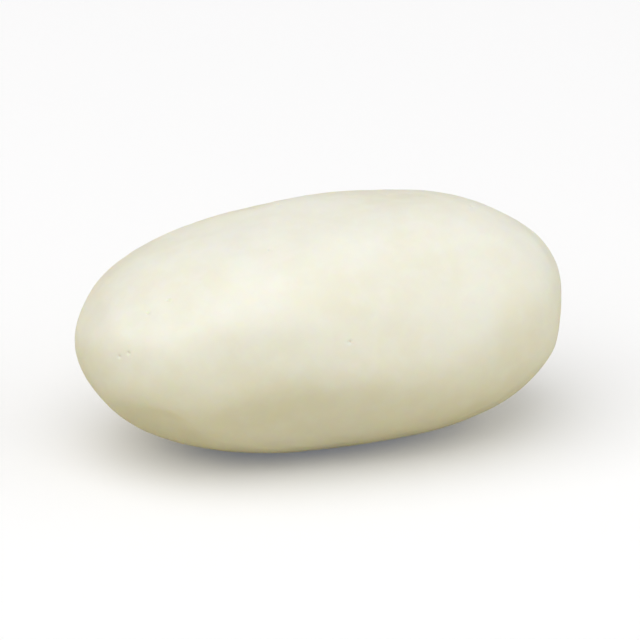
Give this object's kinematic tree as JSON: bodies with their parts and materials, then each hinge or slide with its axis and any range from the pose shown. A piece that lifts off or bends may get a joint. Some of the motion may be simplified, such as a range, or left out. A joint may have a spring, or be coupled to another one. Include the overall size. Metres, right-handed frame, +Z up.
{
  "type": "yogurt covered almond",
  "caption": "Whole almond under a thick, smooth, cream coloured yogurt coating: a blunt ovoid with low broad facets, lying on a small flat spot.",
  "frame": {"origin": "middle of the outline box, on the surface that the almond lies on", "axes": "+X along the length, from the round end to the blunt end; +Y across the width; +Z up through the thickness"},
  "size_m": [0.027, 0.0172, 0.0127],
  "materials": {
    "yogurt_coating": "satin confectioner's glaze over an opaque, slightly translucent cream coating"
  },
  "bodies": {
    "root": {"coated_almond": "yogurt_coating"}
  },
  "joints": []
}
